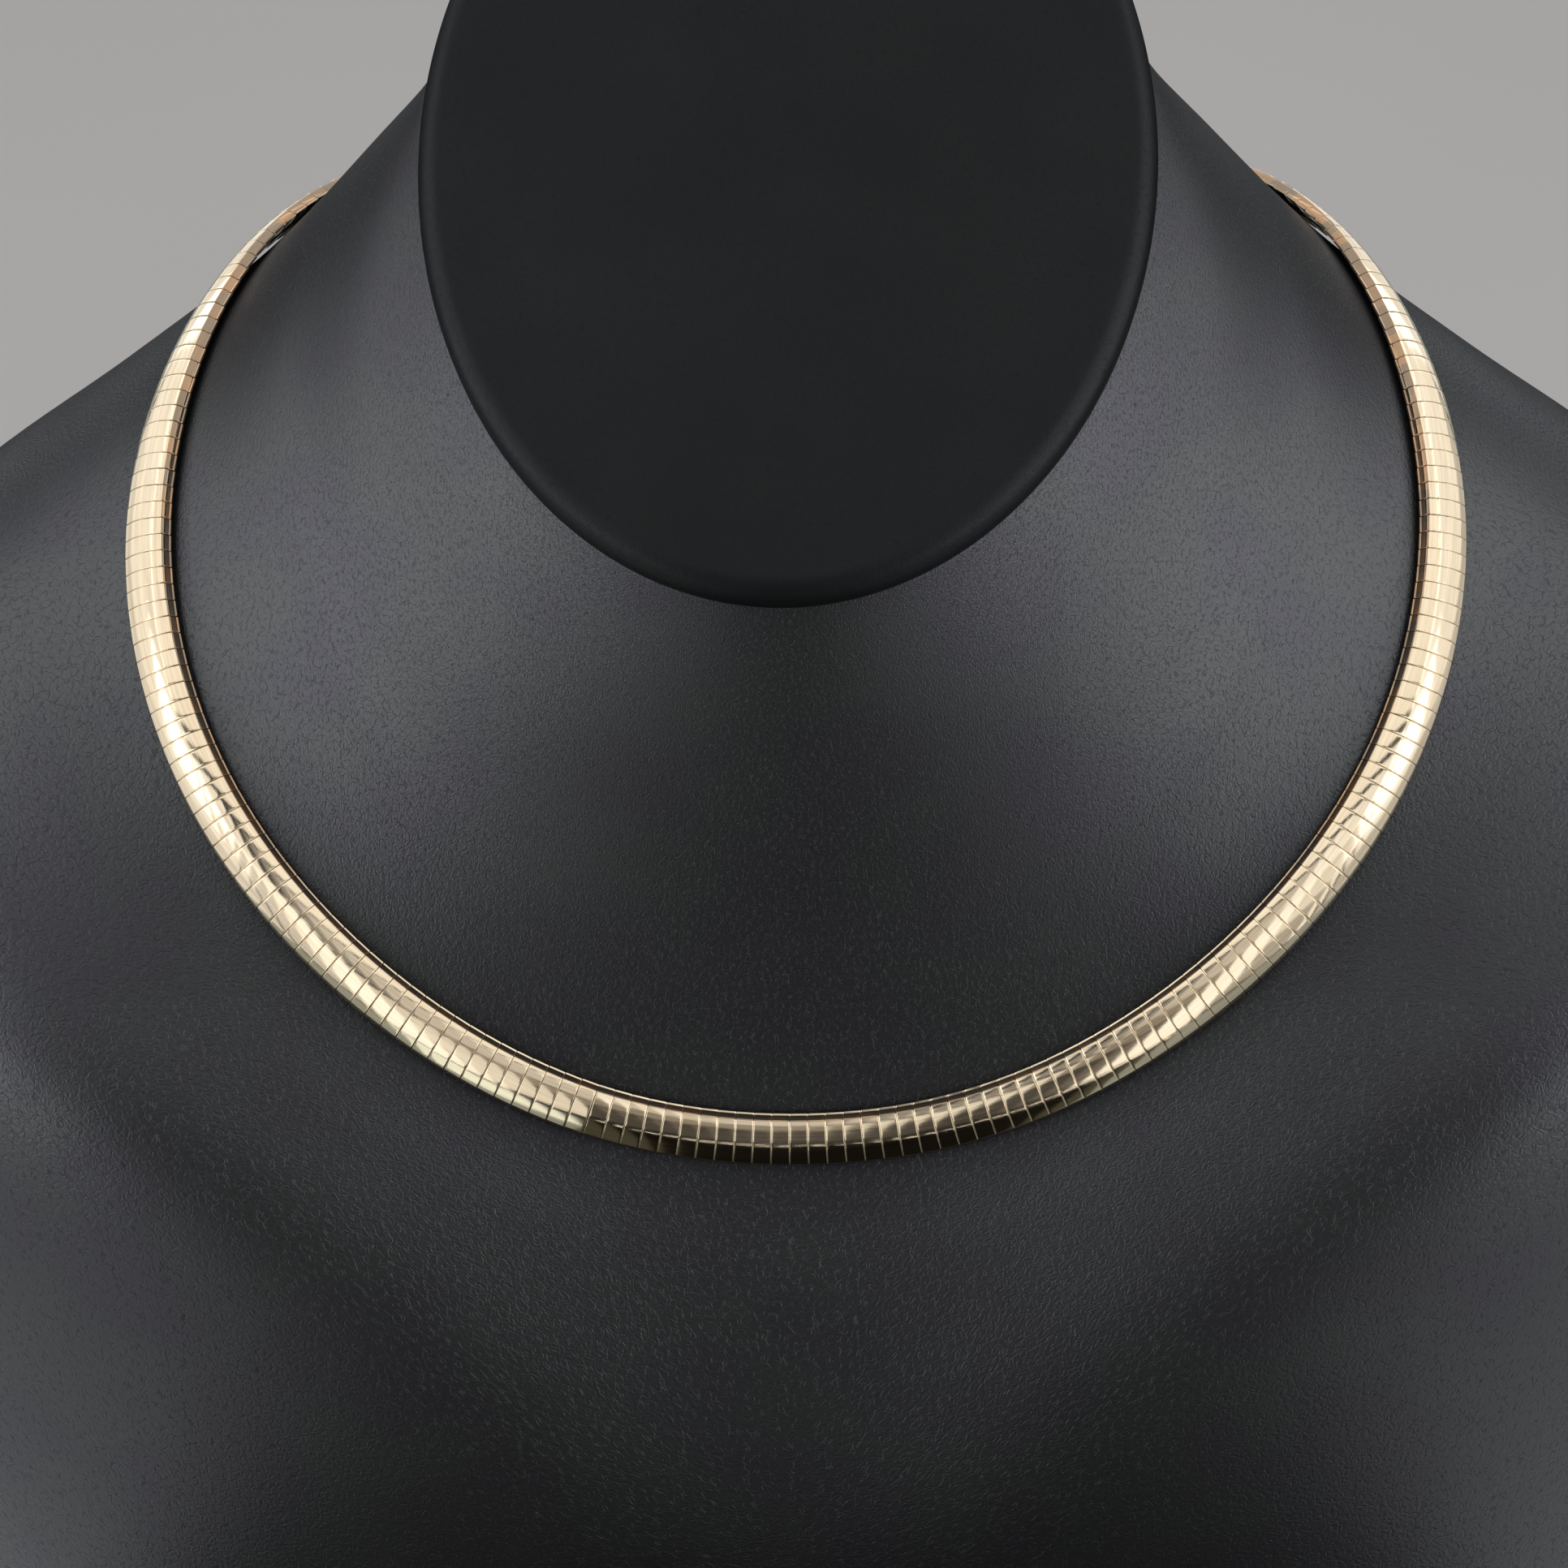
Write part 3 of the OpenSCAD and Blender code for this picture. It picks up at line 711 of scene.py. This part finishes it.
# name, azimuth from the front, elevation, distance, width, height, radiance, colour, what mirrors it
LIGHTS = [
    ["ceiling", 180, 88, 1.5, 3.0, 2.8, 0.95, WARM, "none"],
    ["tent_top", 180, 88, 1.3, 1.9, 1.9, 1.05, WARM, "metal"],
    ["tent_left", -90, 34, 1.3, 2.6, 1.05, 1.05, WHITE, "metal"],
    ["tent_right", 90, 34, 1.3, 2.6, 1.05, 1.05, WHITE, "metal"],
    ["low_tent_left", -90, 2, 1.3, 2.6, 0.46, 0.80, WHITE, "metal"],
    ["low_tent_right", 90, 2, 1.3, 2.6, 0.46, 0.55, WHITE, "metal"],
    ["strip_left", -58, 29, 1.25, 0.42, 0.52, 0.90, WHITE, "metal"],
    ["strip_right", 56, 29, 1.25, 0.46, 0.52, 0.90, WHITE, "metal"],
    ["tent_back", 180, 24, 1.3, 2.6, 1.60, 0.95, WHITE, "metal"],
    ["front_line", 8, -7, 1.0, 0.40, 0.018, 2.0, WARM, "metal"],
    ["low_left", -65, 6, 1.2, 1.50, 0.46, 4.4, COOL, "leather"],
    ["low_right", 65, 6, 1.2, 1.50, 0.46, 4.4, COOL, "leather"],
    ["high_left", -75, 36, 1.2, 1.45, 0.95, 2.7, COOL, "leather"],
    ["high_right", 75, 36, 1.2, 1.45, 0.95, 3.1, COOL, "leather"],
    ["above", 180, 84, 1.3, 2.6, 2.4, 0.9, COOL, "leather"],
    ["behind", 180, 30, 1.3, 2.0, 1.0, 1.3, COOL, "leather"],
]
# Soft light that the leatherette gets from the table: name, place, width, depth, radiance
TABLE_LIGHT_Z = 0.002
TABLE_LIGHTS = [
    ["table_left", -0.50, -0.38, 0.8, 0.7, 1.1],
    ["table_right", 0.50, -0.38, 0.8, 0.7, 1.1],
]
# A near row of soft panels that only the polished metal mirrors
# name, left edge, right edge, lower edge, upper edge, radiance, colour
WALL_Y = -0.314
WALL = [
    ["panel_left_edge", -0.30, -0.21, 0.11, 0.37, 0.70, WHITE],
    ["panel_left", -0.21, -0.11, 0.10, 0.37, 1.30, WHITE],
    ["panel_left_inner", -0.11, -0.04, 0.11, 0.30, 0.85, WARM],
    ["dark_middle", -0.04, 0.01, 0.11, 0.24, 0.05, BROWN],
    ["dark_middle_right", 0.01, 0.05, 0.11, 0.24, 0.13, BROWN],
    ["dim_middle", -0.04, 0.05, 0.24, 0.32, 0.27, BROWN],
    ["soft_middle", -0.06, 0.05, 0.32, 0.50, 0.64, WARM],
    ["soft_left", -0.11, -0.06, 0.32, 0.50, 0.28, WARM],
    ["panel_right", 0.05, 0.14, 0.09, 0.34, 1.25, WHITE],
    ["low_right_panel", 0.14, 0.26, 0.11, 0.22, 0.45, WARM],
    ["high_right_panel", 0.14, 0.26, 0.22, 0.34, 0.85, WARM],
    ["panel_right_edge", 0.26, 0.30, 0.11, 0.34, 1.10, WHITE],
    ["top_right", 0.05, 0.30, 0.34, 0.50, 1.05, WHITE],
    ["top_left", -0.30, -0.15, 0.37, 0.50, 1.05, WHITE],
]
FLOOR_HALF, FLOOR_Z, FLOOR = 12.0, -0.0003, ((0.78, 0.78, 0.80), (0.82, 0.82, 0.84))
TABLE_HALF, TABLE_Z, TABLE_LIGHT = 1.6, -0.0001, 0.34
CLOUD_SCALE, CLOUD_STOPS = 3.0, (0.3, 0.7)
WORLD, WORLD_LIGHT = (0.90, 0.92, 1.0), 0.03
# A bright patch of the table top at the left of the front: place in front, left and right edge
PATCH = [[-0.30, -0.20, -0.10], [-0.7, -0.42, -0.22], [-1.5, -1.0, -0.48]]
PATCH_LIGHT = 1.1
# name, rows of place in front, left edge and right edge, height, two colours
CARDS = [
    [
        "olive_card",
        [
            [-0.09, -0.072, 0.05],
            [-0.15, -0.082, 0.07],
            [-0.30, -0.10, 0.115],
            [-0.7, -0.19, 0.27],
            [-3, -0.8, 1.2],
        ],
        0.0002,
        (0.11, 0.11, 0.085),
        (0.14, 0.14, 0.11),
    ],
    [
        "dark_card",
        [[-0.08, -0.030, 0.035], [-0.30, -0.040, 0.080], [-0.70, -0.07, 0.19], [-3, -0.25, 0.85]],
        0.0004,
        (0.010, 0.009, 0.008),
        (0.016, 0.014, 0.012),
    ],
]
# The polished pieces and the leatherette each mirror their own set of lights
RECEIVERS = {name: bpy.data.collections.new(name + "_pieces") for name in ("metal", "leather")}


def direction(azimuth, elevation):
    """Unit vector from the object, with azimuth 0 at the front."""
    az, el = math.radians(azimuth), math.radians(elevation)
    return Vector((math.sin(az) * math.cos(el), -math.cos(az) * math.cos(el), math.sin(el)))


def softbox(name, width, height, radiance, colour, mirrored_by):
    """A soft rectangular light. One set of pieces mirrors it, or with "none" it only lights matt surfaces."""
    data = bpy.data.lights.new(name, "AREA")
    data.shape = "RECTANGLE"
    data.size, data.size_y = width, height
    data.energy = radiance * math.pi * width * height
    data.color = colour
    lamp = bpy.data.objects.new(name, data)
    bpy.context.scene.collection.objects.link(lamp)
    lamp.visible_camera = False
    lamp.visible_diffuse = mirrored_by == "none"
    lamp.visible_glossy = mirrored_by != "none"
    if mirrored_by in RECEIVERS:
        lamp.light_linking.receiver_collection = RECEIVERS[mirrored_by]
    return lamp


def stage_sheet(name, corners, colour, other):
    """A flat matt sheet of the studio, which isn't part of the object."""
    mesh = bpy.data.meshes.new(name)
    mesh.from_pydata(corners, [], [tuple(range(len(corners)))])
    mat, tree, bsdf = new_material(name)
    place = add(tree, "ShaderNodeTexCoord").outputs["Object"]
    cloud = noise(tree, place, CLOUD_SCALE, 3.0)
    tree.links.new(ramp(tree, cloud, zip(CLOUD_STOPS, (colour, other))), bsdf.inputs["Base Color"])
    bsdf.inputs["Roughness"].default_value = 1.0
    bsdf.inputs["Specular IOR Level"].default_value = 0.0
    mesh.materials.append(mat)
    sheet = bpy.data.objects.new(name, mesh)
    bpy.context.scene.collection.objects.link(sheet)
    return sheet


def glow(sheet, colour, strength):
    """Makes a sheet shine, but only in the polished metal."""
    bsdf = sheet.data.materials[0].node_tree.nodes["Principled BSDF"]
    bsdf.inputs["Emission Color"].default_value = (*colour, 1)
    bsdf.inputs["Emission Strength"].default_value = strength
    sheet.light_linking.receiver_collection = RECEIVERS["metal"]
    show_in_gloss(sheet)


def show_in_gloss(sheet):
    """Leaves a sheet visible only in reflections."""
    sheet.visible_camera = False
    sheet.visible_diffuse = False
    sheet.visible_shadow = False


def square_corners(half, z):
    return [(-half, -half, z), (half, -half, z), (half, half, z), (-half, half, z)]


def strip_corners(edges, z):
    """Corners of a flat strip given by rows of place in front, left edge and right edge."""
    corners = [(left, y, z) for y, left, right in edges] + [(right, y, z) for y, left, right in edges[::-1]]
    return corners[::-1]


def build_studio():
    stage_sheet("floor", square_corners(FLOOR_HALF, FLOOR_Z), *FLOOR)
    # Dark cards in front, which show only in reflections
    for name, edges, z, colour, other in CARDS:
        show_in_gloss(stage_sheet(name, strip_corners(edges, z), colour, other))
    # A bright table top, which only lights the polished metal
    table = stage_sheet("table_top", square_corners(TABLE_HALF, TABLE_Z), BLACK, BLACK)
    glow(table, TABLE, TABLE_LIGHT)
    patch = stage_sheet("bright_patch", strip_corners(PATCH, 0), BLACK, BLACK)
    glow(patch, TABLE, PATCH_LIGHT)

    world = bpy.data.worlds.new("studio")
    bpy.context.scene.world = world
    world.use_nodes = True
    back = world.node_tree.nodes["Background"]
    back.inputs["Color"].default_value = (*WORLD, 1)
    back.inputs["Strength"].default_value = WORLD_LIGHT
    for name, azimuth, elevation, distance, width, height, radiance, colour, mirrored_by in LIGHTS:
        lamp = softbox(name, width, height, radiance, colour, mirrored_by)
        away = direction(azimuth, elevation)
        lamp.location = AIM_POINT + away * distance
        lamp.rotation_euler = away.to_track_quat("Z", "Y").to_euler()
    for name, x, y, width, deep, radiance in TABLE_LIGHTS:
        lamp = softbox(name, width, deep, radiance, COOL, "leather")
        lamp.location = (x, y, TABLE_LIGHT_Z)
        lamp.rotation_euler = (math.pi, 0, 0)
    for name, left, right, low, high, radiance, colour in WALL:
        lamp = softbox(name, right - left, high - low, radiance, colour, "metal")
        lamp.location = ((left + right) / 2, WALL_Y, (low + high) / 2)
        lamp.rotation_euler = Vector((0, -1, 0)).to_track_quat("Z", "Y").to_euler()


build_camera()
RECEIVERS["metal"].objects.link(build_plates())
RECEIVERS["leather"].objects.link(build_bust())
RECEIVERS["leather"].objects.link(build_cap())
for node, material in (("core_strip", WOVEN), ("clasp", CLASP_GOLD)):
    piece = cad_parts[node]
    piece.data.materials.clear()
    piece.data.materials.append(material)
    RECEIVERS["metal"].objects.link(piece)
build_studio()

cycles = bpy.context.scene.cycles
cycles.max_bounces = 3
cycles.diffuse_bounces = 1
cycles.glossy_bounces = 3
view = bpy.context.scene.view_settings
view.view_transform = "Standard"
